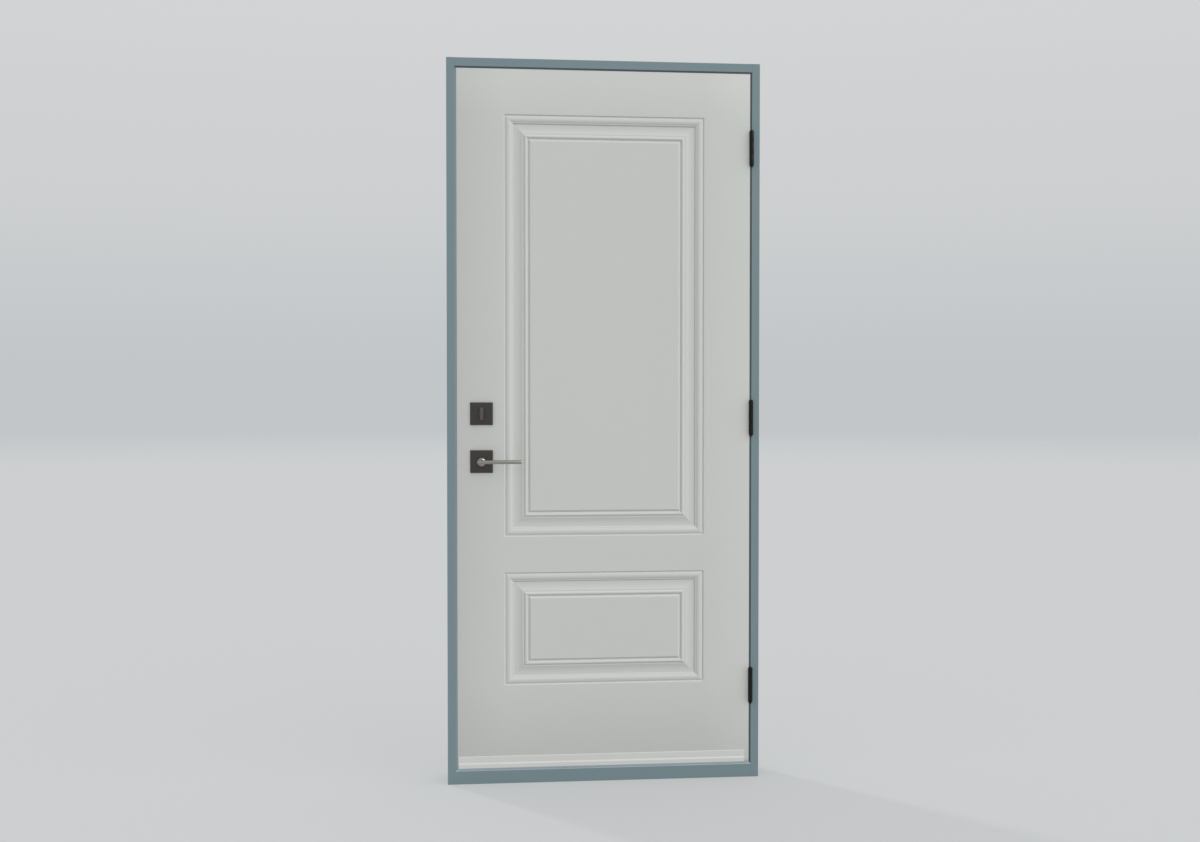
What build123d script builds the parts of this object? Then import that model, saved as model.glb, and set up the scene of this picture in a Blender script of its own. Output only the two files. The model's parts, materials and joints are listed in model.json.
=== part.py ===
from build123d import *
import math
import os

# Pre-hung panel door, in millimetres.
# +X runs to the hinge side, -Y faces the side that the leaf opens to, +Z is up.
# The origin is the centre of the sill's underside.

# Leaf
leaf_width = 862.0
leaf_height = 2032.0
leaf_thickness = 44.5
skin_thickness = 2.4
edge_width = 38.0
rail_core_height = 60.0
lock_bevel = 3.0

# Panel layout on the leaf
stile_width = 137.0
top_rail_height = 130.5
middle_rail_height = 105.5
bottom_rail_height = 239.0
lower_panel_height = 330.0

# Moulding: distance in from the panel's edge, and depth below the face
moulding_width = 76.0
step_width = 3.0
step_depth = 3.6
bead_crest = 13.0
bead_depth = 0.4
bead_end = 22.5
bead_end_depth = 3.6
bead_flat_end = 25.0
bead_flat_depth = 3.8
valley_start = 27.2
valley_end = 33.0
valley_depth = 8.0
cove_end = 53.5
cove_depth = 3.9
cove_flat_end = 57.0
ridge_start = 60.5
ridge_end = 65.5
ridge_depth = 0.9
ridge_crown = 0.4
groove_at = 70.0
groove_depth = 5.0
field_depth = 0.6

# Frame round the leaf
side_clearance = 5.0
jamb_face = 23.5
head_face = 24.5
frame_depth = 116.0
leaf_setback = 2.5
edge_round = 0.8
stop_thickness = 12.7
seal_space = 6.0
seal_clearance = 0.5
seal_width = 10.0
seal_round = 2.5
kerf_width = 3.0
kerf_depth = 8.0
kerf_inset = 3.0
kerf_clearance = 0.2
lip_setback = 2.5
lip_thickness = 2.2
lip_reach = 4.4
lip_root = 4.8
lip_clearance = 0.2

# Sill under the leaf
sill_height = 41.5
sill_back_height = 24.0
leaf_lift = 7.0
cap_depth = 38.0
cap_height = 3.5
cap_bevel = 2.6

# Sweep on the foot of the leaf
sweep_top = 32.0
sweep_flat = 13.5
sweep_ledge = 9.0
sweep_drop = 2.0
sweep_thickness = 2.2
sweep_lip = 4.2
sweep_chamfer = 1.2
sweep_lock_end = 3.0
sweep_hinge_end = 14.0

# Hinges
hinge_length = 101.6
hinge_top_inset = 219.5
hinge_bottom_inset = 226.5
hinge_leaf_depth = 36.0
hinge_plate_thickness = 2.5
barrel_radius = 6.75
barrel_clearance = 0.45
knuckle_count = 3
knuckle_gap = 0.4
pin_radius = 4.0
pin_clearance = 0.05
pin_head_radius = 5.4
pin_head_height = 3.5
pin_tip_length = 4.5
pin_chamfer = 1.2

# Lock and lever
backset = 71.0
lever_height = 943.0
lock_spacing = 139.0
cross_bore = 54.0
rose_size = 66.0
rose_thickness = 7.5
rose_chamfer = 1.5
turning_clearance = 0.3
hub_radius = 12.5
hub_chamfer = 2.5
hub_overlap = 4.0
lever_stand_off = 36.0
bar_depth = 14.0
bar_height = 11.0
bar_reach = 115.0
bar_tail = 13.0
bar_round = 4.4
bar_chamfer = 2.0
spindle_size = 8.0
turn_stem_radius = 6.0
turn_blade_width = 12.0
turn_blade_length = 36.0
turn_blade_height = 17.0
turn_chamfer = 1.5
cylinder_radius = 15.5
cylinder_proud = 3.0
keyway_width = 2.4
keyway_height = 9.0
keyway_depth = 6.0

# Bolts and plates in the lock edge and the strike jamb
faceplate_width = 25.4
faceplate_height = 57.0
faceplate_thickness = 2.5
faceplate_corner = 6.0
bolt_clearance = 0.2
bolt_length = 30.0
edge_bore = 25.4
latch_width = 13.0
latch_height = 17.0
latch_nose = 9.0
latch_tip = 2.5
deadbolt_width = 14.0
deadbolt_height = 20.0
strike_width = 30.0
strike_height = 70.0
strike_thickness = 1.6
strike_margin = 3.0
strike_pocket_depth = 14.0

# Places that follow from the sizes above
half_leaf = leaf_width / 2
inner = half_leaf + side_clearance
front = -frame_depth / 2
back = frame_depth / 2
leaf_front = front + leaf_setback
leaf_back = leaf_front + leaf_thickness
leaf_middle = (leaf_front + leaf_back) / 2
leaf_bottom = sill_height + leaf_lift
leaf_top = leaf_bottom + leaf_height
head_bottom = leaf_top + side_clearance
frame_height = head_bottom + head_face
stop_front = leaf_back + seal_space
stop_edge = inner - stop_thickness
panel_half_width = half_leaf - stile_width
lower_panel = (leaf_bottom + bottom_rail_height, leaf_bottom + bottom_rail_height + lower_panel_height)
upper_panel = (lower_panel[1] + middle_rail_height, leaf_top - top_rail_height)
pin_x = (half_leaf + inner) / 2
pin_y = front - barrel_radius - barrel_clearance
top_hinge = leaf_top - hinge_top_inset
bottom_hinge = leaf_bottom + hinge_bottom_inset
hinges = {"top": top_hinge, "middle": (top_hinge + bottom_hinge) / 2, "bottom": bottom_hinge}
knuckle_length = hinge_length / knuckle_count
lock_x = -half_leaf + backset
lock_height = lever_height + lock_spacing
bevel = math.radians(lock_bevel)

os.makedirs("parts", exist_ok=True)


def keep(part, name):
    """Label a finished piece and write it as its own file."""
    part.label = name
    export_step(part, f"parts/{name}.step")


def block(x, y, z, mode=Mode.ADD):
    """A box between two limits on each axis, in the part being built."""
    centre = ((x[0] + x[1]) / 2, (y[0] + y[1]) / 2, (z[0] + z[1]) / 2)
    with Locations(centre):
        Box(x[1] - x[0], y[1] - y[0], z[1] - z[0], mode=mode)


def run_plane(origin, inward):
    """A section plane of a jamb: local x points into the doorway and local y to the back."""
    return Plane(origin, x_dir=inward, z_dir=Vector(*inward).cross(Vector(0, 1, 0)))


def lock_edge(height):
    """The bevelled lock edge of the leaf at one height: local z points out of the edge."""
    middle = (-half_leaf + math.tan(bevel) * leaf_thickness / 2, leaf_middle, height)
    return Plane(
        middle,
        x_dir=(-math.sin(bevel), -math.cos(bevel), 0),
        z_dir=(-math.cos(bevel), math.sin(bevel), 0),
    )


# Jambs, stops and weatherstrips: each is a section carried along its side of the doorway.
# For each side: where its run starts, the way into the doorway, the length of the jamb, and for
# the stop and then the lip seal, where along the run it starts and its length.
side_stop = head_bottom - stop_thickness - sill_height
side_lip = head_bottom - lip_reach - sill_height - 2 * lip_clearance
side_lip_foot = sill_height + lip_clearance
side_lip_head = head_face + lip_reach + lip_clearance
runs = {
    "strike": (
        (-inner, 0, 0),
        (1, 0, 0),
        frame_height,
        (sill_height, side_stop),
        (side_lip_foot, side_lip),
    ),
    "hinge": (
        (inner, 0, frame_height),
        (-1, 0, 0),
        frame_height,
        (head_face + stop_thickness, side_stop),
        (side_lip_head, side_lip),
    ),
    "head": ((-inner, 0, head_bottom), (0, 0, -1), 2 * inner, (0, 2 * inner), (0, 2 * inner)),
}
lip_middle = front + lip_setback + lip_thickness / 2


def hinge_mortise(x_limits):
    """Cut room for the three hinge plates into a jamb, seal, stile or skin."""
    for height in hinges.values():
        block(
            x_limits,
            (pin_y, leaf_front + hinge_leaf_depth),
            (height - hinge_length / 2, height + hinge_length / 2),
            mode=Mode.SUBTRACT,
        )


def strike_seat(height, bolt_width, bolt_height):
    """Cut the seat of a strike plate and the pocket that its bolt shoots into."""
    block(
        (-inner - strike_thickness, -inner),
        (leaf_middle - strike_width / 2, leaf_middle + strike_width / 2),
        (height - strike_height / 2, height + strike_height / 2),
        mode=Mode.SUBTRACT,
    )
    block(
        (-inner - strike_pocket_depth, -inner),
        (leaf_middle - bolt_width / 2 - strike_margin, leaf_middle + bolt_width / 2 + strike_margin),
        (height - bolt_height / 2 - strike_margin, height + bolt_height / 2 + strike_margin),
        mode=Mode.SUBTRACT,
    )


for side, (start, inward, jamb_length, stop_run, lip_run) in runs.items():
    face = head_face if side == "head" else jamb_face
    section = run_plane(start, inward)
    stop_start, stop_length = stop_run
    lip_start, lip_length = lip_run

    with BuildPart() as jamb:
        with BuildSketch(section) as board:
            with Locations((-face / 2, 0)):
                Rectangle(face, frame_depth)
            fillet(board.vertices().group_by(Axis.Y)[0], radius=edge_round)
            with Locations((-lip_root / 2, lip_middle)):
                Rectangle(lip_root, lip_thickness + 2 * lip_clearance, mode=Mode.SUBTRACT)
        extrude(amount=jamb_length)
        if side == "hinge":
            hinge_mortise((inner, inner + hinge_plate_thickness))
        if side == "strike":
            strike_seat(lever_height, latch_width, latch_height)
            strike_seat(lock_height, deadbolt_width, deadbolt_height)
    keep(jamb.part, f"{side}_jamb")

    with BuildPart() as stop:
        with BuildSketch(section.offset(stop_start)):
            with Locations((stop_thickness / 2, (stop_front + back) / 2)):
                Rectangle(stop_thickness, back - stop_front)
            with Locations((kerf_inset + kerf_width / 2, stop_front + kerf_depth / 2)):
                Rectangle(kerf_width, kerf_depth, mode=Mode.SUBTRACT)
        extrude(amount=stop_length)
    keep(stop.part, f"{side}_stop")

    with BuildPart() as seal:
        with BuildSketch(section.offset(stop_start)) as bulb:
            bulb_height = seal_space - seal_clearance
            with Locations((seal_width / 2, stop_front - bulb_height / 2)):
                Rectangle(seal_width, bulb_height)
            fillet(bulb.vertices().group_by(Axis.Y)[0], radius=seal_round)
            tongue = kerf_depth - kerf_clearance
            with Locations((kerf_inset + kerf_width / 2, stop_front + tongue / 2)):
                Rectangle(kerf_width - 2 * kerf_clearance, tongue)
        extrude(amount=stop_length)
    keep(seal.part, f"{side}_seal")

    with BuildPart() as lip:
        with BuildSketch(section.offset(lip_start)):
            with Locations(((lip_reach - lip_root + lip_clearance) / 2, lip_middle)):
                Rectangle(lip_reach + lip_root - lip_clearance, lip_thickness)
        extrude(amount=lip_length)
        if side == "hinge":
            hinge_mortise((inner - 2 * lip_reach, inner + hinge_plate_thickness + lip_clearance))
    keep(lip.part, f"{side}_lip_seal")


# Sill between the jambs, falling to the back, and the bevelled cap along its front edge
with BuildPart() as sill:
    block((-inner, inner), (front, back), (0, sill_height))
    with BuildSketch(Plane.YZ.offset(-stop_edge)):
        with BuildLine():
            Polyline(
                (stop_front, sill_height),
                (back, sill_back_height),
                (back, sill_height),
                close=True,
            )
        make_face()
    extrude(amount=2 * stop_edge, mode=Mode.SUBTRACT)
    block(
        (-inner, inner),
        (front, front + cap_depth),
        (sill_height - cap_height, sill_height),
        mode=Mode.SUBTRACT,
    )
keep(sill.part, "sill")

with BuildPart() as sill_cap:
    with BuildSketch(Plane.YZ.offset(-inner)) as cap_section:
        with Locations((front + cap_depth / 2, sill_height - cap_height / 2)):
            Rectangle(cap_depth, cap_height)
        chamfer(cap_section.vertices().group_by(Axis.Y)[-1].sort_by(Axis.X)[0], length=cap_bevel)
    extrude(amount=2 * inner)
keep(sill_cap.part, "sill_cap")


# Leaf faces: a flat sheet, mitred moulding bands round the panels, and the panel fields
def moulding_line(drop):
    """One side of the moulded sheet, from the panel's edge to its field, lowered by drop."""
    step = (step_width, -step_depth - drop)
    crest = (bead_crest, -bead_depth - drop)
    bead = (bead_end, -bead_end_depth - drop)
    bead_flat = (bead_flat_end, -bead_flat_depth - drop)
    valley_a = (valley_start, -valley_depth - drop)
    valley_b = (valley_end, -valley_depth - drop)
    cove = (cove_end, -cove_depth - drop)
    cove_flat = (cove_flat_end, -cove_depth - drop)
    ridge_a = (ridge_start, -ridge_depth - drop)
    ridge_b = (ridge_end, -ridge_depth - drop)
    ridge_top = ((ridge_start + ridge_end) / 2, -ridge_crown - drop)
    groove = (groove_at, -groove_depth - drop)
    Line((0, -drop), step)
    TangentArc(crest, step, tangent=(-1, 0))
    TangentArc(crest, bead, tangent=(1, 0))
    Polyline(bead, bead_flat, valley_a, valley_b)
    TangentArc(valley_b, cove, tangent=(1, 0))
    Polyline(cove, cove_flat, ridge_a)
    ThreePointArc(ridge_a, ridge_top, ridge_b)
    Polyline(ridge_b, groove, (moulding_width, -field_depth - drop))


def panel_moulding(face_y, way, low, high):
    """Sweep the moulding round one panel; way is +1 on the front face and -1 on the back."""
    half = way * panel_half_width
    with BuildLine() as path:
        Polyline(
            (0, face_y, low),
            (half, face_y, low),
            (half, face_y, high),
            (-half, face_y, high),
            (-half, face_y, low),
            close=True,
        )
    with BuildSketch(Plane((0, face_y, low), x_dir=(0, 0, 1), z_dir=(way, 0, 0))) as band:
        with BuildLine():
            moulding_line(0)
            moulding_line(skin_thickness)
            Line((0, 0), (0, -skin_thickness))
            Line((moulding_width, -field_depth), (moulding_width, -field_depth - skin_thickness))
        make_face()
    sweep(band.sketch, path=path.wire(), transition=Transition.RIGHT)


def panel_sheet(y, low, high, inset, mode):
    """A sheet over one panel, set in from its edge, between two depths."""
    half = panel_half_width - inset
    block((-half, half), y, (low + inset, high - inset), mode=mode)


skins = {"front_skin": (leaf_front, 1), "back_skin": (leaf_back, -1)}
for name, (face_y, way) in skins.items():
    sheet = sorted((face_y, face_y + way * skin_thickness))
    field = sorted((face_y + way * field_depth, face_y + way * (field_depth + skin_thickness)))
    with BuildPart() as skin:
        block((-half_leaf, half_leaf), sheet, (leaf_bottom, leaf_top))
        for low, high in (lower_panel, upper_panel):
            panel_sheet(sheet, low, high, 0, Mode.SUBTRACT)
        for low, high in (lower_panel, upper_panel):
            panel_moulding(face_y, way, low, high)
            panel_sheet(field, low, high, moulding_width, Mode.ADD)
        for height in (lever_height, lock_height):
            with Locations(Location((lock_x, face_y, height), (90, 0, 0))):
                Cylinder(cross_bore / 2, 4 * skin_thickness, mode=Mode.SUBTRACT)
        hinge_mortise((half_leaf - hinge_plate_thickness, half_leaf))
        split(bisect_by=lock_edge(lever_height), keep=Keep.BOTTOM)
    keep(skin.part, name)


# Edges of the leaf between the two skins
core = (leaf_front + skin_thickness, leaf_back - skin_thickness)
with BuildPart() as hinge_stile:
    block((half_leaf - edge_width, half_leaf), core, (leaf_bottom, leaf_top))
    hinge_mortise((half_leaf - hinge_plate_thickness, half_leaf))
keep(hinge_stile.part, "hinge_stile")

bolts = {
    "latch": (lever_height, latch_width, latch_height),
    "deadbolt": (lock_height, deadbolt_width, deadbolt_height),
}


def faceplate_outline():
    """The round-cornered outline of a faceplate."""
    RectangleRounded(faceplate_width, faceplate_height, faceplate_corner)


with BuildPart() as lock_stile:
    block((-half_leaf, -half_leaf + edge_width), core, (leaf_bottom, leaf_top))
    split(bisect_by=lock_edge(lever_height), keep=Keep.BOTTOM)
    for height, bolt_width, bolt_height in bolts.values():
        with BuildSketch(lock_edge(height)):
            faceplate_outline()
        extrude(amount=-faceplate_thickness, mode=Mode.SUBTRACT)
        with BuildSketch(lock_edge(height)):
            Circle(edge_bore / 2)
        extrude(amount=-2 * edge_width, mode=Mode.SUBTRACT)
keep(lock_stile.part, "lock_stile")

rails = {
    "bottom_rail": (leaf_bottom, leaf_bottom + rail_core_height),
    "top_rail": (leaf_top - rail_core_height, leaf_top),
}
for name, heights in rails.items():
    with BuildPart() as rail:
        block((-half_leaf + edge_width, half_leaf - edge_width), core, heights)
    keep(rail.part, name)

# Sweep: a strip with a ledge, on the front of the leaf's foot
with BuildPart() as door_sweep:
    with BuildSketch(Plane.YZ.offset(-half_leaf + sweep_lock_end)):
        with BuildLine():
            Polyline(
                (leaf_front, leaf_bottom - sweep_drop),
                (leaf_front, leaf_bottom + sweep_top),
                (leaf_front - sweep_thickness + sweep_chamfer, leaf_bottom + sweep_top),
                (leaf_front - sweep_thickness, leaf_bottom + sweep_top - sweep_chamfer),
                (leaf_front - sweep_thickness, leaf_bottom + sweep_flat),
                (leaf_front - sweep_lip, leaf_bottom + sweep_ledge),
                (leaf_front - sweep_lip, leaf_bottom - sweep_drop),
                close=True,
            )
        make_face()
    extrude(amount=leaf_width - sweep_lock_end - sweep_hinge_end)
keep(door_sweep.part, "door_sweep")


# Butt hinges: knuckles of the two halves take turns round one pin
def knuckle_height(height, index):
    """The middle of one knuckle, counted from the bottom of its hinge."""
    return height - hinge_length / 2 + (index + 0.5) * knuckle_length


def hinge_half(height, plate_x, own, other):
    """A hinge plate with its own knuckles, cut clear of the other half's."""
    with BuildPart() as half:
        barrel_length = hinge_length - knuckle_gap
        block(
            plate_x,
            (pin_y, leaf_front + hinge_leaf_depth),
            (height - barrel_length / 2, height + barrel_length / 2),
        )
        for index in other:
            with Locations((pin_x, pin_y, knuckle_height(height, index))):
                Cylinder(barrel_radius + knuckle_gap, knuckle_length + knuckle_gap, mode=Mode.SUBTRACT)
        for index in own:
            with Locations((pin_x, pin_y, knuckle_height(height, index))):
                Cylinder(barrel_radius, knuckle_length - knuckle_gap)
        with Locations((pin_x, pin_y, height)):
            Cylinder(pin_radius + pin_clearance, 2 * hinge_length, mode=Mode.SUBTRACT)
    return half.part


jamb_knuckles = range(0, knuckle_count, 2)
leaf_knuckles = range(1, knuckle_count, 2)
jamb_plate_x = (inner, inner + hinge_plate_thickness)
leaf_plate_x = (half_leaf - hinge_plate_thickness, half_leaf)
for place, height in hinges.items():
    jamb_plate = hinge_half(height, jamb_plate_x, jamb_knuckles, leaf_knuckles)
    keep(jamb_plate, f"{place}_hinge_jamb_plate")
    leaf_plate = hinge_half(height, leaf_plate_x, leaf_knuckles, jamb_knuckles)
    keep(leaf_plate, f"{place}_hinge_leaf_plate")
    with BuildPart() as pin:
        barrel_top = height + (hinge_length - knuckle_gap) / 2
        barrel_foot = height - (hinge_length - knuckle_gap) / 2
        with BuildSketch(Plane.XY.offset(barrel_foot - pin_tip_length)):
            with Locations((pin_x, pin_y)):
                Circle(pin_radius)
        extrude(amount=barrel_top - barrel_foot + pin_tip_length)
        with BuildSketch(Plane.XY.offset(barrel_top)):
            with Locations((pin_x, pin_y)):
                Circle(pin_head_radius)
        extrude(amount=pin_head_height)
        chamfer(pin.edges().group_by(Axis.Z)[-1], length=pin_chamfer)
    keep(pin.part, f"{place}_hinge_pin")

# Roses, levers and turn: made at the front with way -1, and at the back with way +1
faces = {"front": (leaf_front, -1), "back": (leaf_back, 1)}


def face_plane(face_y, way, height):
    """A plane on a leaf face at a lock centre: local z points away from the leaf."""
    return Plane((lock_x, face_y, height), x_dir=(1, 0, 0), z_dir=(0, way, 0))


def square_rose(plane, bore_radius):
    """A square rose with chamfered front edges and a round bore."""
    with BuildPart() as rose:
        with BuildSketch(plane):
            Rectangle(rose_size, rose_size)
        extrude(amount=rose_thickness)
        chamfer(rose.faces().sort_by(Axis(plane.origin, plane.z_dir))[-1].edges(), length=rose_chamfer)
        with BuildSketch(plane):
            Circle(bore_radius)
        extrude(amount=rose_thickness, mode=Mode.SUBTRACT)
    return rose.part


for face, (face_y, way) in faces.items():
    lever_plane = face_plane(face_y, way, lever_height)
    keep(square_rose(lever_plane, hub_radius + turning_clearance), f"{face}_lever_rose")

    with BuildPart() as lever:
        bar_start = (lock_x - bar_tail, face_y + way * (lever_stand_off + bar_depth / 2), lever_height)
        with BuildSketch(Plane(bar_start, x_dir=(0, way, 0), z_dir=(1, 0, 0))):
            RectangleRounded(bar_depth, bar_height, bar_round)
        extrude(amount=bar_tail + bar_reach)
        chamfer(lever.faces().sort_by(Axis.X)[-1].edges(), length=bar_chamfer)
        hub_length = lever_stand_off + hub_overlap - hub_chamfer
        with BuildSketch(lever_plane):
            Circle(hub_radius)
        extrude(amount=hub_length)
        with BuildSketch(lever_plane.offset(hub_length)):
            Circle(hub_radius)
        extrude(amount=hub_chamfer, taper=45)
    keep(lever.part, f"{face}_lever")

    lock_plane = face_plane(face_y, way, lock_height)
    lock_bore = turn_stem_radius if face == "front" else cylinder_radius
    keep(square_rose(lock_plane, lock_bore + turning_clearance), f"{face}_lock_rose")

with BuildPart() as lever_spindle:
    block(
        (lock_x - spindle_size / 2, lock_x + spindle_size / 2),
        (leaf_front, leaf_back),
        (lever_height - spindle_size / 2, lever_height + spindle_size / 2),
    )
keep(lever_spindle.part, "lever_spindle")

front_lock = face_plane(leaf_front, -1, lock_height)
with BuildPart() as thumb_turn:
    with BuildSketch(front_lock):
        Circle(turn_stem_radius)
    extrude(amount=rose_thickness + turning_clearance)
    with BuildSketch(front_lock.offset(rose_thickness + turning_clearance)):
        Rectangle(turn_blade_width, turn_blade_length)
    extrude(amount=turn_blade_height)
    chamfer(thumb_turn.faces().sort_by(Axis.Y)[0].edges(), length=turn_chamfer)
keep(thumb_turn.part, "thumb_turn")

back_lock = face_plane(leaf_back, 1, lock_height)
with BuildPart() as key_cylinder:
    with BuildSketch(back_lock):
        Circle(cylinder_radius)
    extrude(amount=rose_thickness + cylinder_proud)
    with BuildSketch(back_lock.offset(rose_thickness + cylinder_proud)):
        Rectangle(keyway_width, keyway_height)
    extrude(amount=-keyway_depth, mode=Mode.SUBTRACT)
keep(key_cylinder.part, "key_cylinder")

# Bolts drawn back flush with their faceplates, and the strikes that face them
for name, (height, bolt_width, bolt_height) in bolts.items():
    with BuildPart() as faceplate:
        with BuildSketch(lock_edge(height)):
            faceplate_outline()
            Rectangle(bolt_width + 2 * bolt_clearance, bolt_height + 2 * bolt_clearance, mode=Mode.SUBTRACT)
        extrude(amount=-faceplate_thickness)
    keep(faceplate.part, f"{name}_faceplate")

    with BuildPart() as bolt:
        with BuildSketch(lock_edge(height)):
            Rectangle(bolt_width, bolt_height)
        extrude(amount=-bolt_length)
        if name == "latch":
            nose = bolt.faces().sort_by(Axis.X)[0]
            chamfer(
                nose.edges().sort_by(Axis.Y)[-1],
                length=latch_width - latch_tip,
                length2=latch_nose,
                reference=nose,
            )
    keep(bolt.part, f"{name}_bolt")

    with BuildPart() as strike:
        block(
            (-inner - strike_thickness, -inner),
            (leaf_middle - strike_width / 2, leaf_middle + strike_width / 2),
            (height - strike_height / 2, height + strike_height / 2),
        )
        block(
            (-inner - strike_thickness, -inner),
            (leaf_middle - bolt_width / 2 - strike_margin, leaf_middle + bolt_width / 2 + strike_margin),
            (height - bolt_height / 2 - strike_margin, height + bolt_height / 2 + strike_margin),
            mode=Mode.SUBTRACT,
        )
    keep(strike.part, f"{name}_strike")
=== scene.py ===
"""Looks of a pre-hung panel door: pressed faces, hardware, finishes and a studio stage.

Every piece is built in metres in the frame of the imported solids: +X runs to the hinge side,
-Y faces the viewer, +Z is up, and the origin is the middle of the sill's underside.
"""

import json
import math

import bmesh
import bpy
import numpy as np
from bpy.props import FloatProperty, FloatVectorProperty, IntProperty, PointerProperty
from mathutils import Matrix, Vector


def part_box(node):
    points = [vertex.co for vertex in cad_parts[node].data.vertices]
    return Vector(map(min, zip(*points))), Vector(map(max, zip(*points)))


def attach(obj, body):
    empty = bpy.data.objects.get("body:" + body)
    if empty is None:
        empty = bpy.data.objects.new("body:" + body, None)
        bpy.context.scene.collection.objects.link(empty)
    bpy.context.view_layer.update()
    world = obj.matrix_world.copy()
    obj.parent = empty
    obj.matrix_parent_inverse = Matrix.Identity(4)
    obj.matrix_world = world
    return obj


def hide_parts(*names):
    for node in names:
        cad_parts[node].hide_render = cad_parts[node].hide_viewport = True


bl_info = {
    "name": "Panel door",
    "version": (1, 0, 0),
    "blender": (4, 5, 0),
    "location": "View3D > Sidebar > Door",
    "description": "Dresses the solids of a pre-hung panel door and sets a studio stage round it",
    "category": "Object",
}

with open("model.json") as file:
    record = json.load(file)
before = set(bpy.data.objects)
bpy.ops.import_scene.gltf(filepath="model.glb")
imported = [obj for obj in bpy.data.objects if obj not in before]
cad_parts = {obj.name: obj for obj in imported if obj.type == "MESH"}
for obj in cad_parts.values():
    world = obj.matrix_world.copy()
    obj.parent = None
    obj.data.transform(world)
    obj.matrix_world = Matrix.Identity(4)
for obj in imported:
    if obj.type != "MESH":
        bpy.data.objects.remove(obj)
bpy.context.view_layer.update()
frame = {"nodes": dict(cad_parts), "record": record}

MM = 0.001
MERGE_DISTANCE = 1e-6  # metres, within which two points of a piece become one
MITRE_RUN = 1e-5  # metres, the least run along X and along Z that makes an edge a mitre
NOISE_SPAN = (0.3, 0.7)  # where nearly all values of a noise lie
MIX_FACTOR, MIX_A, MIX_B, MIX_RESULT = 0, 6, 7, 2  # sockets of a Mix node that is set to colours


def size(name, millimetres, description):
    """A length property, written here in millimetres and kept in metres."""
    return FloatProperty(
        name=name, description=description, default=millimetres * MM, unit="LENGTH", precision=5
    )


def amount(name, default, description):
    """A plain number property."""
    return FloatProperty(name=name, description=description, default=default, precision=3)


def turn(name, degrees, description):
    """An angle property, written here in degrees and kept in radians."""
    return FloatProperty(
        name=name, description=description, default=math.radians(degrees), unit="ROTATION"
    )


def colour(name, red, green, blue, description):
    """A colour property, written here as it looks on screen, from 0 to 255, and kept linear.

    The sRGB curve joins the two: a short straight part, then a power of 2.4.
    """
    shown = np.array([red, green, blue]) / 255
    linear = np.where(shown > 0.04045, ((shown + 0.055) / 1.055) ** 2.4, shown / 12.92)
    return FloatVectorProperty(
        name=name, description=description, default=linear.tolist(), subtype="COLOR", min=0, max=1
    )


class LeafSizes(bpy.types.PropertyGroup):
    """Layout of the two panels on the leaf, and the pressed line round each of them."""

    stile: size("Stile", 137, "From the leaf's side to a panel's edge")
    top_rail: size("Top rail", 130.5, "From the leaf's top to the upper panel")
    middle_rail: size("Middle rail", 105.5, "Between the two panels")
    bottom_rail: size("Bottom rail", 239, "From the leaf's foot to the lower panel")
    lower_panel: size("Lower panel", 330, "Height of the lower panel")
    sheet: size("Sheet", 2.4, "Thickness of a pressed face")
    hem: size("Hem", 0.5, "Radius of the sheet's outer edge")
    hem_angle: turn("Hem angle", 80, "The hem rounds edges that are sharper than this")
    hem_segments: IntProperty(name="Hem segments", description="Faces across the hem", default=2)
    edge_gap: size("Edge gap", 0.1, "How far the sheet stops short of the leaf's edge")
    press_radius: size("Press radius", 0.8, "How softly the press rounds each corner of the line")
    ring_step: size("Ring step", 0.3, "Distance between two points of the line")
    step_width: size("Step width", 3.0, "Width of the step at the panel's edge")
    step_depth: size("Step depth", 3.6, "Depth at the foot of the step")
    bead_crest: size("Bead crest", 13.0, "Where the bead is highest")
    bead_depth: size("Bead depth", 0.4, "Depth of the bead's crest")
    bead_end: size("Bead end", 22.5, "Where the bead ends")
    bead_end_depth: size("Bead end depth", 3.6, "Depth at the end of the bead")
    bead_flat_end: size("Bead flat end", 25.0, "Where the flat beside the bead ends")
    bead_flat_depth: size("Bead flat depth", 3.8, "Depth at the end of that flat")
    valley_start: size("Valley start", 27.2, "Where the valley begins")
    valley_end: size("Valley end", 33.0, "Where the cove begins")
    valley_depth: size("Valley depth", 8.0, "Depth of the valley")
    cove_end: size("Cove end", 53.5, "Where the cove ends")
    cove_depth: size("Cove depth", 3.9, "Depth at the end of the cove")
    cove_flat_end: size("Cove flat end", 57.0, "Where the flat beside the cove ends")
    ridge_start: size("Ridge start", 60.5, "Where the ridge begins")
    ridge_top: size("Ridge top", 63.0, "Where the ridge is highest")
    ridge_end: size("Ridge end", 65.5, "Where the ridge ends")
    ridge_depth: size("Ridge depth", 0.9, "Depth at the sides of the ridge")
    ridge_crown: size("Ridge crown", 0.4, "Depth at the top of the ridge")
    groove_at: size("Groove", 70.0, "Where the groove is deepest")
    groove_depth: size("Groove depth", 5.0, "Depth of the groove")
    width: size("Line width", 76.0, "Where the field of the panel begins")
    field_depth: size("Field depth", 0.6, "Depth of the panel's field")


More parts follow.
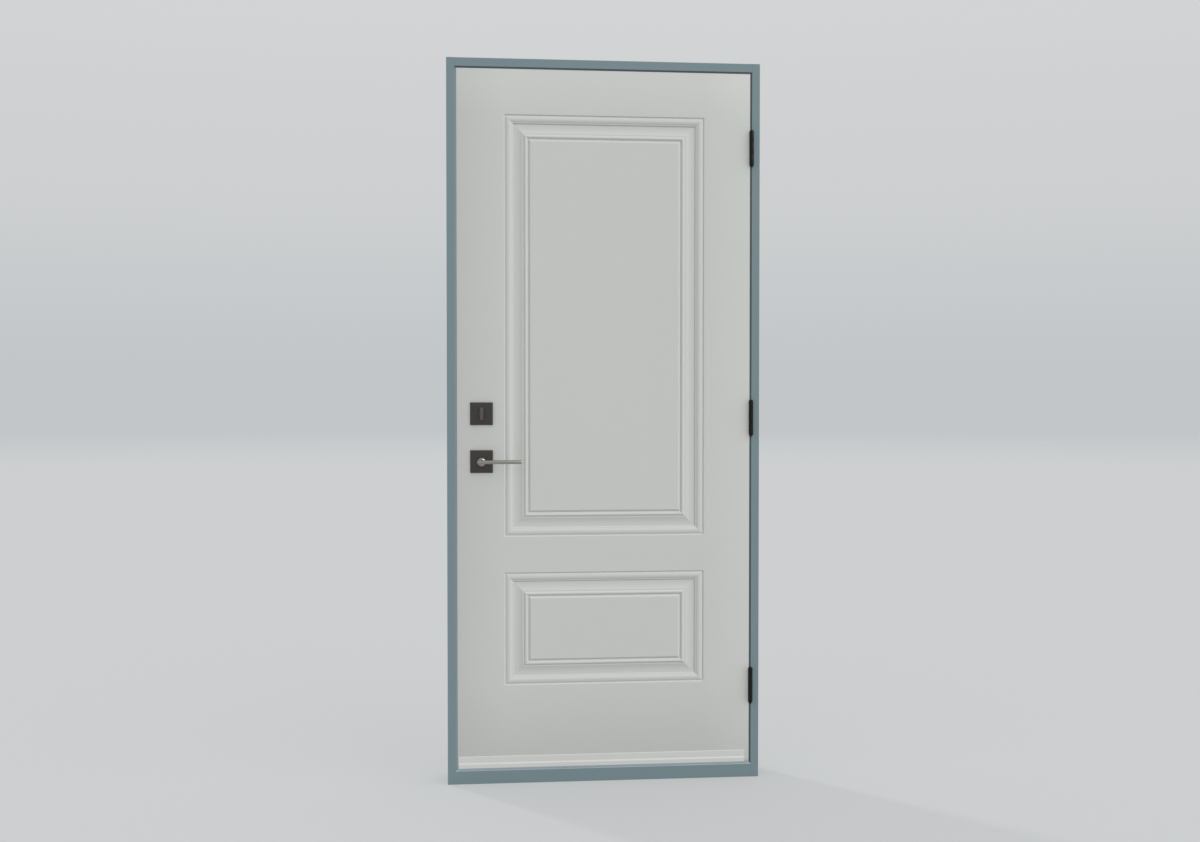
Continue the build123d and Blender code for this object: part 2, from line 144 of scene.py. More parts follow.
class HardwareSizes(bpy.types.PropertyGroup):
    """Levers, thumb turn, roses, hinges, screws and seals."""

    rose_corner: size("Rose corner", 1.6, "Corner radius of a square rose")
    rose_edge: size("Rose edge", 1.2, "Edge radius of a square rose")
    bore_gap: size("Bore gap", 0.3, "Between a rose and what passes through it")
    hub_radius: size("Hub radius", 12.5, "Radius of the lever's neck")
    hub_edge: size("Hub edge", 6, "Edge radius of the neck's domed end")
    hub_overlap: size("Hub overlap", 4, "How far the neck reaches into the bar")
    stand_off: size("Stand-off", 36, "From the leaf to the inside of the lever's bar")
    bar_depth: size("Bar depth", 14, "Bar of the lever, away from the leaf")
    bar_height: size("Bar height", 11, "Bar of the lever, upright")
    bar_corner: size("Bar corner", 5.3, "Corner radius of the bar's section")
    bar_reach: size("Bar reach", 115, "From the neck's middle to the bar's tip")
    bar_tail: size("Bar tail", 13, "From the neck's middle to the bar's other end")
    bar_end: size("Bar end", 2.2, "Edge radius of the bar's tip")
    tail_end: size("Tail end", 4.2, "Edge radius of the bar's other end")
    turn_stem: size("Turn stem", 6, "Radius of the thumb turn's stem")
    turn_gap: size("Turn gap", 0.3, "Between the rose and the thumb turn's blade")
    turn_edge: size("Turn edge", 1.0, "Edge radius of the thumb turn's blade")
    blade_width: size("Blade width", 10, "Width of the thumb turn's blade")
    blade_length: size("Blade length", 36, "Length of the thumb turn's blade")
    blade_corner: size("Blade corner", 1.2, "Corner radius of the thumb turn's blade")
    knuckles: IntProperty(name="Knuckles", description="Knuckles of a hinge", default=3)
    knuckle_radius: size("Knuckle radius", 6.75, "Radius of a hinge's barrel")
    knuckle_gap: size("Knuckle gap", 0.4, "Between two knuckles")
    knuckle_edge: size("Knuckle edge", 0.5, "Edge radius of a knuckle")
    plate_thickness: size("Plate thickness", 2.5, "Thickness of a hinge plate")
    plate_edge: size("Plate edge", 0.35, "Edge radius of a hinge plate")
    pin_radius: size("Pin radius", 4, "Radius of a hinge pin")
    pin_head: size("Pin head", 5.4, "Radius of a hinge pin's head")
    pin_head_height: size("Pin head height", 3.5, "Height of a hinge pin's head")
    pin_edge: size("Pin edge", 1.8, "Edge radius of a hinge pin's ends")
    screw_far: size("Outer screws", 38, "From a hinge's middle to its outer screws")
    screw_near: size("Inner screws", 14, "From a hinge's middle to its inner screws")
    screw_inset: size("Screw inset", 10.5, "From a hinge plate's far edge to its outer screws")
    screw_stagger: size("Screw stagger", 15.5, "How much further in the inner screws are")
    strike_screw: size("Strike screws", 24, "From a strike's middle to its screws")
    faceplate_screw: size("Faceplate screws", 20, "From a faceplate's middle to its screws")
    screw_radius: size("Screw radius", 4, "Radius of a screw's head")
    screw_proud: size("Screw proud", 0.3, "Rise of a screw's head above its plate")
    screw_root: size("Screw root", 0.8, "How far a screw's head reaches into its plate")
    slot_length: size("Slot length", 2.4, "Arm of the cross in a screw's head")
    slot_width: size("Slot width", 0.55, "Half the width of the cross's arms")
    slot_depth: size("Slot depth", 0.7, "Depth of the cross")
    lock_bevel: turn("Lock bevel", 3, "Slant of the leaf's lock edge")
    bulb_depth: size("Bulb depth", 5.5, "How far a bulb seal stands off its stop")
    lip_tip: size("Lip tip", 0.5, "Half the thickness of a lip seal at its tip")
    lip_notch: size("Lip notch", 0.2, "Room between a lip seal and a hinge plate")
    fin_thickness: size("Fin thickness", 1.4, "Thickness of the soft fin under the sweep")
    fin_setback: size("Fin setback", 0.6, "From the front of the sweep to the fin")
    fin_root: size("Fin root", 2.6, "How far the fin reaches up into the sweep")
    fin_gap: size("Fin gap", 0.2, "Between the fin and the sill")


class FinishColours(bpy.types.PropertyGroup):
    """Colours of the finishes."""

    leaf: colour("Leaf paint", 191, 192, 189, "Satin pale grey paint on the leaf")
    frame: colour("Frame paint", 110, 129, 134, "Satin blue-grey paint on the frame")
    vinyl: colour("Sweep vinyl", 196, 197, 195, "Sweep on the foot of the leaf")
    # the cap's own colour, made paler as painted light so that its strip in the shade under the sweep reads
    # lit
    cap: colour("Sill cap", 160, 174, 179, "Bevelled cap along the sill's front edge")
    rubber: colour("Seal rubber", 70, 74, 77, "Bulb seals on the stops")
    # painted shade and painted light: the lip seals are one rubber, but the hinge-side and head lips are
    # made darker to stand for the shaded reveals beside the leaf, and the strike-side lip is made lighter so
    # its strip reads lit
    lip: colour("Lip rubber", 70, 81, 86, "Lip seals beside the hinges and under the head")
    strike_lip: colour("Strike lip", 124, 139, 145, "Lip seal beside the lock")
    fin: colour("Fin rubber", 148, 160, 166, "Soft fin under the sweep")
    dark_metal: colour("Dark metal", 56, 54, 51, "Roses, strikes, faceplates, bolts and screws")
    # painted light: the thumb turn wears a lighter copy of the roses' dark metal, standing for light caught
    # on its blade
    turn: colour("Turn metal", 82, 80, 78, "Satin metal of the thumb turn")
    hinge: colour("Hinge metal", 9, 9, 9, "Black gloss of the hinges")
    lever: colour("Lever metal", 158, 156, 150, "Satin nickel of the levers and the key cylinder")


class StageSettings(bpy.types.PropertyGroup):
    """Camera, floor, backdrop and lamps."""

    camera_place: FloatVectorProperty(
        name="Camera place",
        description="Where the camera stands",
        default=(-0.4055, -4.0758, 1.1548),
        subtype="TRANSLATION",
    )
    camera_pitch: turn("Camera pitch", -1.344, "Tilt of the camera above the horizon")
    camera_yaw: turn("Camera yaw", 5.566, "Turn of the camera to the viewer's right")
    camera_lens: amount("Camera lens", 41.356, "Focal length, in millimetres")
    camera_sensor: amount("Camera sensor", 36, "Width of the sensor, in millimetres")
    floor: colour("Floor", 205, 207, 208, "The floor as the camera sees it")
    backdrop_low: colour("Backdrop low", 194, 198, 201, "Backdrop at the horizon")
    backdrop_middle: colour("Backdrop middle", 205.5, 207.5, 208.5, "Backdrop half way up")
    backdrop_high: colour("Backdrop high", 210, 212, 214, "Backdrop at the top of the picture")
    middle_at: amount("Middle at", 0.15, "Sine of the elevation where the middle colour lies")
    high_at: amount("High at", 0.27, "Sine of the elevation where the high colour begins")
    floor_clear: amount("Floor clear", 15.0, "Distance at which the floor begins to fade, in metres")
    floor_gone: amount("Floor gone", 36.0, "Distance at which the floor has faded, in metres")
    floor_glow: amount("Floor glow", 0.4, "Share of the floor's look that no shadow reaches")
    floor_light: amount("Floor light", 1.285, "Light on the bare floor, where 1 shows a colour as written")
    floor_bounce: amount("Floor bounce", 0.75, "Share of the floor's colour that it throws back at the door")
    ambient: amount("Ambient", 0.8, "Light from all round")
    key: amount("Key", 1.9, "Strength of the shadowless lamp at the upper right")
    key_spread: turn("Key spread", 50, "Width of the key lamp, as an angle")
    key_azimuth: turn("Key azimuth", 52, "How far the key lamp stands to the viewer's right of the front")
    key_elevation: turn("Key elevation", 37, "How high the key lamp stands")
    rim: amount("Rim", 0.55, "Strength of the small lamp behind on the left")
    rim_spread: turn("Rim spread", 4, "Width of the rim lamp, as an angle")
    rim_azimuth: turn("Rim azimuth", -140, "How far the rim lamp stands to the viewer's right of the front")
    rim_elevation: turn("Rim elevation", 45, "How high the rim lamp stands")


frame_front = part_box("head_jamb")[0][1]
jamb_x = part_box("hinge_jamb")[0][0]
leaf_low, leaf_high = (np.array(corner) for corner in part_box("front_skin"))
back_low, back_high = (np.array(corner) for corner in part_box("back_skin"))


# Surfaces and meshes
def grid_quads(rows, columns, wrap):
    """Four-sided faces of a grid numbered row by row; wrap joins the last column to the first."""
    row = np.arange(rows - 1)[:, None] * columns
    column = np.arange(columns if wrap else columns - 1)
    beside = (column + 1) % columns
    corners = (row + column, row + columns + column, row + columns + beside, row + beside)
    return np.stack(corners, axis=-1).reshape(-1, 4)


def carried_outline(half_u, half_v, corner, heights, insets, bore=0, steps=8):
    """A rounded rectangle carried up w, closed to a point at both ends or bored right through.

    At each height the outline is drawn in by its inset: the corner arcs keep their middles and
    their radius becomes corner less inset. With both half sizes equal to corner it is a circle.
    """
    angle = (np.arange(4)[:, None] + np.linspace(0, 1, steps)) * math.pi / 2
    quarter = np.arange(4)[:, None] * math.pi / 2 + math.pi / 4 + 0 * angle
    angle, quarter = angle.ravel(), quarter.ravel()
    middle_u = np.sign(np.cos(quarter)) * (half_u - corner)
    middle_v = np.sign(np.sin(quarter)) * (half_v - corner)
    radius = corner - np.asarray(insets)[:, None]
    u = middle_u + radius * np.cos(angle)
    v = middle_v + radius * np.sin(angle)
    w = np.asarray(heights)[:, None] + 0 * u
    walls = np.stack([u, v, w], axis=-1)
    rim = bore * np.stack([np.cos(angle), np.sin(angle), 0 * angle], axis=-1)
    first, last = walls[:1] * (0, 0, 1) + rim, walls[-1:] * (0, 0, 1) + rim
    points = np.concatenate([first, walls, last, first] if bore else [first, walls, last])
    return points, grid_quads(len(points), points.shape[1], wrap=True)


def carried_profile(profile, start, end, p_axis, q_axis):
    """A closed profile carried straight from start to end and closed there to its middle.

    Its point (p, q) lies p along one axis and q along the other from the path.
    """
    offsets = profile @ np.array([p_axis, q_axis], float)
    ends = np.array([start, end])[:, None] + offsets
    middles = ends.mean(axis=1, keepdims=True) + 0 * ends
    points = np.concatenate([middles[:1], ends, middles[1:]])
    return points, grid_quads(len(points), len(profile), wrap=True)


def rounded_ends(length, foot, top, steps=6):
    """Heights and insets of a block whose two ends are drawn in along quarter circles.

    A quarter circle of radius r has height r(1 - cos t) and inset r(1 - sin t), t from 0 to 90 degrees.
    """
    t = np.linspace(0, math.pi / 2, steps)
    heights = np.concatenate([foot * (1 - np.cos(t)), length - top * (1 - np.cos(t[::-1]))])
    insets = np.concatenate([foot * (1 - np.sin(t)), top * (1 - np.sin(t[::-1]))])
    return heights, insets


def placed(surface, origin, u, v, w):
    """A surface moved from its own u, v, w to the door's X, Y, Z."""
    points, faces = surface
    return points @ np.array([u, v, w], float) + np.asarray(origin, float), faces


def finish_named(name):
    """A finish of this script; the solids bring plain materials that are named after the slots."""
    return bpy.data.materials[f"{name}_finish"]


def make_piece(name, surfaces, body, slot, stands_for=(), closed=True, smooth=40, finish=None):
    """One object from several surfaces, with seams and poles merged and faces turned outwards.

    It wears the finish of its slot, or another that is named. Edges that bend by less than smooth,
    in degrees, are shaded smooth.
    """
    points, faces, count = [], [], 0
    for surface_points, surface_faces in surfaces:
        points.append(surface_points.reshape(-1, 3))
        faces.append(surface_faces + count)
        count += len(points[-1])
    mesh = bpy.data.meshes.new(name)
    mesh.from_pydata(np.concatenate(points).tolist(), [], np.concatenate(faces).tolist())
    shell = bmesh.new()
    shell.from_mesh(mesh)
    bmesh.ops.remove_doubles(shell, verts=shell.verts, dist=MERGE_DISTANCE)
    if closed:
        bmesh.ops.recalc_face_normals(shell, faces=shell.faces)
    shell.to_mesh(mesh)
    shell.free()
    mesh.shade_smooth()
    mesh.set_sharp_from_angle(angle=math.radians(smooth))
    piece = bpy.data.objects.new(name, mesh)
    bpy.context.scene.collection.objects.link(piece)
    piece.data.materials.append(finish_named(finish or slot))
    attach(piece, body)
    if stands_for:
        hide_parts(*stands_for)
    return piece


# Leaf faces
def level_arc(s, level, other):
    """Depth along a circular arc that is level at one point and ends at the other.

    Its radius is the sum of run squared and fall squared, over twice the fall.
    """
    run, fall = other[0] - level[0], other[1] - level[1]
    radius = (run**2 + fall**2) / (2 * abs(fall))
    return level[1] + math.copysign(1, fall) * (radius - np.sqrt(radius**2 - (s - level[0]) ** 2))


def pressed_line(leaf):
    """Distances in from the panel's edge, and the depth of the pressed sheet at each.

    The line is straight between its named points, apart from circular arcs: both sides of the bead,
    level at its crest, both sides of the ridge, level at its top, and the cove, level at the valley.
    A bell-shaped average over the press radius then rounds every corner.
    """
    margin = 2 * leaf.press_radius
    s = np.arange(-margin, leaf.width + margin, leaf.ring_step)
    edge = (0, 0)
    step = (leaf.step_width, leaf.step_depth)
    crest = (leaf.bead_crest, leaf.bead_depth)
    bead = (leaf.bead_end, leaf.bead_end_depth)
    bead_flat = (leaf.bead_flat_end, leaf.bead_flat_depth)
    valley_a = (leaf.valley_start, leaf.valley_depth)
    valley_b = (leaf.valley_end, leaf.valley_depth)
    cove = (leaf.cove_end, leaf.cove_depth)
    cove_flat = (leaf.cove_flat_end, leaf.cove_depth)
    ridge_a = (leaf.ridge_start, leaf.ridge_depth)
    ridge = (leaf.ridge_top, leaf.ridge_crown)
    ridge_b = (leaf.ridge_end, leaf.ridge_depth)
    groove = (leaf.groove_at, leaf.groove_depth)
    field = (leaf.width, leaf.field_depth)
    corners = (edge, step, crest, bead, bead_flat, valley_a, valley_b, cove, cove_flat)
    corners += (ridge_a, ridge, ridge_b, groove, field)
    depth = np.interp(s, *np.transpose(corners))
    for level, other in ((crest, step), (crest, bead), (valley_b, cove), (ridge, ridge_a), (ridge, ridge_b)):
        on_arc = (s >= min(level[0], other[0])) & (s <= max(level[0], other[0]))
        depth[on_arc] = level_arc(s[on_arc], level, other)
    reach = round(leaf.press_radius / leaf.ring_step) + 1
    bell = np.hanning(2 * reach + 1)
    padded = np.pad(depth, reach, mode="edge")
    return s, np.convolve(padded, bell / bell.sum(), mode="valid")


def pressed_face(leaf, low, high, face_y, way):
    """A leaf face: a flat border, the pressed line carried round both panels, and the two fields.

    The ring at distance s has the panel's corners, each moved s inwards along X and along Z. Way is
    +1 where depth runs along +Y, on the front, and -1 on the back.
    """
    s, depth = pressed_line(leaf)
    half = (leaf_high[0] - leaf_low[0]) / 2 - leaf.stile
    lower = (low[2] + leaf.bottom_rail, low[2] + leaf.bottom_rail + leaf.lower_panel)
    upper = (lower[1] + leaf.middle_rail, high[2] - leaf.top_rail)
    inward = np.array([(1, 1), (-1, 1), (-1, -1), (1, -1)])
    surfaces = []
    for foot, head in (lower, upper):
        corners = np.array([(-half, foot), (half, foot), (half, head), (-half, head)])
        rings = corners + s[:, None, None] * inward
        y = face_y + way * np.broadcast_to(depth[:, None], rings.shape[:2])
        points = np.stack([rings[..., 0], y, rings[..., 1]], axis=-1)
        field = np.arange(4)[None] + 4 * (len(s) - 1)
        surfaces.append((points, np.concatenate([grid_quads(len(s), 4, wrap=True)[:, ::-1], field])))

    x = np.array([low[0], -half + s[0], half - s[0], high[0] - leaf.edge_gap])
    z = np.array([low[2], lower[0] + s[0], lower[1] - s[0], upper[0] + s[0], upper[1] - s[0], high[2]])
    grid_x, grid_z = np.meshgrid(x, z)
    border = np.stack([grid_x, np.full_like(grid_x, face_y), grid_z], axis=-1)
    quads = grid_quads(len(z), len(x), wrap=False)[:, ::-1].reshape(len(z) - 1, len(x) - 1, 4)
    solid = np.ones(quads.shape[:2], bool)
    solid[1::2, 1] = False
    surfaces.append((border, quads[solid]))
    return [(points, faces if way > 0 else faces[:, ::-1]) for points, faces in surfaces]


def mark_mitres(mesh):
    """Keep the mitres crisp: an edge that runs along both X and Z is one of them."""
    ends = np.empty(2 * len(mesh.edges), np.int32)
    mesh.edges.foreach_get("vertices", ends)
    points = np.empty(3 * len(mesh.vertices))
    mesh.vertices.foreach_get("co", points)
    run = np.abs(np.diff(points.reshape(-1, 3)[ends.reshape(-1, 2)], axis=1)[:, 0])
    mitre = (run[:, 0] > MITRE_RUN) & (run[:, 2] > MITRE_RUN)
    mesh.edges.foreach_set("use_edge_sharp", mitre)


class DOOR_OT_leaf_faces(bpy.types.Operator):
    """Make the two pressed faces of the leaf"""

    bl_idname = "door.leaf_faces"
    bl_label = "Leaf faces"

    def execute(self, context):
        leaf = context.scene.door_leaf
        for name, node, low, high, face_y, way in (
            ("front_face", "front_skin", leaf_low, leaf_high, leaf_low[1], 1),
            ("back_face", "back_skin", back_low, back_high, back_high[1], -1),
        ):
            surfaces = pressed_face(leaf, low, high, face_y, way)
            face = make_piece(name, surfaces, "leaf", "leaf_paint", (node,), closed=False, smooth=180)
            mark_mitres(face.data)
            sheet = face.modifiers.new("Sheet", "SOLIDIFY")
            sheet.thickness = leaf.sheet
            sheet.offset = -1
            hem = face.modifiers.new("Hem", "BEVEL")
            hem.width = leaf.hem
            hem.segments = leaf.hem_segments
            hem.limit_method = "ANGLE"
            hem.angle_limit = leaf.hem_angle
        return {"FINISHED"}


# Lock and lever
def box_middle(node):
    """The middle of a node's box, and its two corners."""
    low, high = (np.array(corner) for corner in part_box(node))
    return (low + high) / 2, low, high


SIDES = {"front": (leaf_low[1], -1), "back": (back_high[1], 1)}


class DOOR_OT_roses(bpy.types.Operator):
    """Make the square roses, with softened edges and a bore for what passes through"""

    bl_idname = "door.roses"
    bl_label = "Roses"

    def execute(self, context):
        sizes = context.scene.door_hardware
        low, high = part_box("key_cylinder")
        lock_bores = {"front": sizes.turn_stem, "back": (high[0] - low[0]) / 2}
        for side, (face_y, way) in SIDES.items():
            for kind, bore in (("lever", sizes.hub_radius), ("lock", lock_bores[side])):
                node = f"{side}_{kind}_rose"
                middle, low, high = box_middle(node)
                half = (high[0] - low[0]) / 2
                heights, insets = rounded_ends(high[1] - low[1], 0, sizes.rose_edge)
                bore += sizes.bore_gap
                rose = carried_outline(half, half, sizes.rose_corner, heights, insets, bore)
                origin = (middle[0], face_y, middle[2])
                surface = placed(rose, origin, (1, 0, 0), (0, 0, 1), (0, way, 0))
                make_piece(f"{side}_{kind}_plate", [surface], "leaf", "dark_metal", (node,))
        return {"FINISHED"}


class DOOR_OT_levers(bpy.types.Operator):
    """Make the two lever handles: a round neck and a soft-edged bar"""

    bl_idname = "door.levers"
    bl_label = "Levers"

    def execute(self, context):
        sizes = context.scene.door_hardware
        for side, (face_y, way) in SIDES.items():
            middle = box_middle(f"{side}_lever_rose")[0]
            origin = np.array((middle[0], face_y, middle[2]))
            half_depth, half_height = sizes.bar_depth / 2, sizes.bar_height / 2
            heights, insets = rounded_ends(sizes.stand_off + sizes.hub_overlap, 0, sizes.hub_edge)
            neck = carried_outline(sizes.hub_radius, sizes.hub_radius, sizes.hub_radius, heights, insets)
            heights, insets = rounded_ends(sizes.bar_reach + sizes.bar_tail, sizes.tail_end, sizes.bar_end)
            bar = carried_outline(half_depth, half_height, sizes.bar_corner, heights, insets)
            bar_origin = origin + (-sizes.bar_tail, way * (sizes.stand_off + half_depth), 0)
            surfaces = [
                placed(neck, origin, (1, 0, 0), (0, 0, 1), (0, way, 0)),
                placed(bar, bar_origin, (0, 1, 0), (0, 0, 1), (1, 0, 0)),
            ]
            make_piece(f"{side}_handle", surfaces, "lever", "lever_metal", (f"{side}_lever",))
        return {"FINISHED"}


class DOOR_OT_thumb_turn(bpy.types.Operator):
    """Make the thumb turn: an upright blade on a round stem"""

    bl_idname = "door.thumb_turn"
    bl_label = "Thumb turn"

    def execute(self, context):
        sizes = context.scene.door_hardware
        middle, low, high = box_middle("thumb_turn")
        blade_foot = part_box("front_lock_rose")[0][1] - sizes.turn_gap
        stem_length = high[1] - blade_foot
        stem = carried_outline(sizes.turn_stem, sizes.turn_stem, sizes.turn_stem, (0, stem_length), (0, 0))
        heights, insets = rounded_ends(blade_foot - low[1], 0, sizes.turn_edge)
        blade = carried_outline(
            sizes.blade_width / 2, sizes.blade_length / 2, sizes.blade_corner, heights, insets
        )
        axes = (1, 0, 0), (0, 0, 1), (0, -1, 0)
        surfaces = [
            placed(stem, (middle[0], high[1], middle[2]), *axes),
            placed(blade, (middle[0], blade_foot, middle[2]), *axes),
        ]
        # the blade wears the lighter copy of the dark metal: painted light
        make_piece("turn_piece", surfaces, "turn", "dark_metal", ("thumb_turn",), finish="lit_turn_metal")
        return {"FINISHED"}


# Hinges and screws
HINGES = ("top", "middle", "bottom")


def hinge_plate(sizes, face_x, out, y, z):
    """A flat plate between two limits along Y and along Z, behind a face that looks out along X."""
    heights, insets = rounded_ends(sizes.plate_thickness, 0, sizes.plate_edge)
    half_y, half_z = (y[1] - y[0]) / 2, (z[1] - z[0]) / 2
    plate = carried_outline(half_y, half_z, sizes.plate_edge, heights, insets, steps=4)
    origin = (face_x - out * sizes.plate_thickness, (y[0] + y[1]) / 2, (z[0] + z[1]) / 2)
    return placed(plate, origin, (0, 1, 0), (0, 0, 1), (out, 0, 0))


def upright_round(radius, x, y, foot, top, foot_edge, top_edge):
    """A round bar from foot to top, with its two ends rounded."""
    heights, insets = rounded_ends(top - foot, foot_edge, top_edge)
    bar = carried_outline(radius, radius, radius, heights, insets)
    return placed(bar, (x, y, foot), (1, 0, 0), (0, 1, 0), (0, 0, 1))


class DOOR_OT_hinges(bpy.types.Operator):
    """Make the hinges: plates, knuckles that take turns, and pins with button ends"""

    bl_idname = "door.hinges"
    bl_label = "Hinges"

    def execute(self, context):
        sizes = context.scene.door_hardware
        halves = {
            "jamb": ("frame", jamb_x, -1, frame_front, 0),
            "leaf": ("leaf", leaf_high[0], 1, leaf_low[1], 1),
        }
        for place in HINGES:
            (pin_x, pin_y, _), pin_low, pin_high = box_middle(f"{place}_hinge_pin")
            for half, (body, face_x, out, front_y, first) in halves.items():
                node = f"{place}_hinge_{half}_plate"
                low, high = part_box(node)
                pitch = (high[2] - low[2] + sizes.knuckle_gap) / sizes.knuckles
                edge = sizes.knuckle_edge
                surfaces = [hinge_plate(sizes, face_x, out, (front_y, high[1]), (low[2], high[2]))]
                for index in range(first, sizes.knuckles, 2):
                    foot = low[2] + index * pitch
                    top = foot + pitch - sizes.knuckle_gap
                    surfaces.append(upright_round(sizes.knuckle_radius, pin_x, pin_y, foot, top, edge, edge))
                    surfaces.append(hinge_plate(sizes, face_x, out, (pin_y, front_y + edge), (foot, top)))
                make_piece(f"{place}_{half}_hinge", surfaces, body, "hinge_metal", (node,))
            head_foot = pin_high[2] - sizes.pin_head_height
            surfaces = [
                upright_round(sizes.pin_radius, pin_x, pin_y, pin_low[2], head_foot, sizes.pin_edge, 0),
                upright_round(sizes.pin_head, pin_x, pin_y, head_foot, pin_high[2], 0, sizes.pin_edge),
            ]
            make_piece(f"{place}_pin", surfaces, "frame", "hinge_metal", (f"{place}_hinge_pin",))
        return {"FINISHED"}


def screw_head(sizes, rings=14, spokes=40):
    """A low dome with a cross sunk into it, closed by a skirt that reaches into the plate.

    Its rise is proud times 1 - (r / radius) squared, less the slot depth inside the cross.
    """
    r = np.linspace(0, sizes.screw_radius, rings)[:, None]
    angle = np.linspace(0, 2 * math.pi, spokes, endpoint=False)
    u, v = r * np.cos(angle), r * np.sin(angle)
    arm_u = (np.abs(u) < sizes.slot_length) & (np.abs(v) < sizes.slot_width)
    arm_v = (np.abs(v) < sizes.slot_length) & (np.abs(u) < sizes.slot_width)
    w = sizes.screw_proud * (1 - (r / sizes.screw_radius) ** 2) - sizes.slot_depth * (arm_u | arm_v)
    top = np.stack([u, v, w], axis=-1)
    root = np.full((1, spokes, 1), -sizes.screw_root)
    skirt = np.concatenate([top[-1:, :, :2], root], axis=-1)
    points = np.concatenate([top, skirt, skirt * (0, 0, 1)])
    return points, grid_quads(len(points), spokes, wrap=True)


def screws_at(head, middle, u, v, out, offsets):
    """The head at each offset, along u and v, from the middle of a plate's outer face."""
    return [placed(head, middle + np.dot(offset, (u, v)), u, v, out) for offset in offsets]


class DOOR_OT_screws(bpy.types.Operator):
    """Make the screws of the hinges, the strikes and the bolts' faceplates"""

    bl_idname = "door.screws"
    bl_label = "Screws"

    def execute(self, context):
        sizes = context.scene.door_hardware
        head = screw_head(sizes)
        up, towards, right = (0, 0, 1), (0, -1, 0), (1, 0, 0)
        inner_inset = sizes.screw_inset + sizes.screw_stagger
        on_hinge = [(sizes.screw_inset, z) for z in (-sizes.screw_far, sizes.screw_far)]
        on_hinge += [(inner_inset, z) for z in (-sizes.screw_near, sizes.screw_near)]
        on_frame, on_leaf = [], []
        for place in HINGES:
            middle, _, high = box_middle(f"{place}_hinge_leaf_plate")
            on_frame += screws_at(head, (jamb_x, high[1], middle[2]), towards, up, (-1, 0, 0), on_hinge)
            on_leaf += screws_at(head, (leaf_high[0], high[1], middle[2]), towards, up, right, on_hinge)
        slant = sizes.lock_bevel
        edge_out = (-math.cos(slant), math.sin(slant), 0)
        edge_across = (-math.sin(slant), -math.cos(slant), 0)
        for bolt in ("latch", "deadbolt"):
            middle, _, high = box_middle(f"{bolt}_strike")
            pair = [(0, -sizes.strike_screw), (0, sizes.strike_screw)]
            on_frame += screws_at(head, (high[0], middle[1], middle[2]), towards, up, right, pair)
            middle, low, high = box_middle(f"{bolt}_faceplate")
            edge_x = low[0] + math.tan(slant) * (high[1] - low[1]) / 2
            pair = [(0, -sizes.faceplate_screw), (0, sizes.faceplate_screw)]
            on_leaf += screws_at(head, (edge_x, middle[1], middle[2]), edge_across, up, edge_out, pair)
        make_piece("frame_screws", on_frame, "frame", "dark_metal")
        make_piece("leaf_screws", on_leaf, "leaf", "dark_metal")
        return {"FINISHED"}


# Seals
def bulb_profile(width, depth, flattening=0.6, steps=24):
    """A D shape: half a turn of p = width (1 - cos t) / 2 and q = depth times a power of sin t."""
    t = np.linspace(0, math.pi, steps)
    return np.stack([width * (1 - np.cos(t)) / 2, depth * np.sin(t) ** flattening], axis=-1)


def lip_profile(reach, root, tip, steps=9):
    """A strip that tapers from half thickness root to a round tip."""
    t = np.linspace(-math.pi / 2, math.pi / 2, steps)
    arc = np.stack([reach - tip + tip * np.cos(t), tip * np.sin(t)], axis=-1)
    return np.concatenate([[(0, -root)], arc, [(0, root)]])


class DOOR_OT_seals(bpy.types.Operator):
    """Make the bulb seals on the stops and the lip seals in the gap round the leaf"""

    bl_idname = "door.seals"
    bl_label = "Seals"

    def execute(self, context):
        sizes = context.scene.door_hardware
        notches = []
        for place in HINGES:
            low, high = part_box(f"{place}_hinge_jamb_plate")
            notches.append((low[2] - sizes.lip_notch, high[2] + sizes.lip_notch))
        for side, along, across, way in (("strike", 2, 0, 1), ("hinge", 2, 0, -1), ("head", 0, 2, -1)):
            inward = way * np.eye(3)[across]
            for kind in ("seal", "lip_seal"):
                node = f"{side}_{kind}"
                middle, low, high = box_middle(node)
                start = np.where(np.arange(3) == along, low, middle)
                start[across] = low[across] if way > 0 else high[across]
                width = high[across] - low[across]
                if kind == "seal":
                    start[1] = low[1] + sizes.bulb_depth
                    profile = bulb_profile(width, sizes.bulb_depth)
                else:
                    profile = lip_profile(width, (high[1] - low[1]) / 2, sizes.lip_tip)
                cuts = sorted(notches) if node == "hinge_lip_seal" else []
                limits = [low[along], *(limit for cut in cuts for limit in cut), high[along]]
                surfaces = []
                for first, last in zip(limits[::2], limits[1::2]):
                    ends = [np.where(np.arange(3) == along, limit, start) for limit in (first, last)]
                    surfaces.append(carried_profile(profile, *ends, inward, (0, -1, 0)))
                slot = "seal_rubber" if kind == "seal" else "lip_rubber"
                # the strike-side lip takes the lighter copy of the lip rubber (painted light); the
                # hinge-side and head lips take the darker copy (painted shade)
                finish = "strike_lip" if node == "strike_lip_seal" else slot
                make_piece(f"{side}_{kind}_strip", surfaces, "frame", slot, (node,), finish=finish)
        return {"FINISHED"}


class DOOR_OT_sweep_fin(bpy.types.Operator):
    """Make the soft fin that hangs along the foot of the leaf, from the sweep to just above the sill"""

    bl_idname = "door.sweep_fin"
    bl_label = "Sweep fin"

    def execute(self, context):
        sizes = context.scene.door_hardware
        sweep_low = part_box("door_sweep")[0]
        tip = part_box("sill_cap")[1][2] + sizes.fin_gap
        root = sweep_low[2] + sizes.fin_root
        half, tip_half = sizes.fin_thickness / 2, sizes.fin_thickness / 3
        profile = lip_profile(root - tip, half, tip_half)
        y = sweep_low[1] + sizes.fin_setback + half
        ends = (leaf_low[0], y, root), (leaf_high[0], y, root)
        fin = carried_profile(profile, *ends, (0, 0, -1), (0, -1, 0))
        make_piece("sweep_fin", [fin], "leaf", "seal_rubber", finish="fin_rubber")
        return {"FINISHED"}


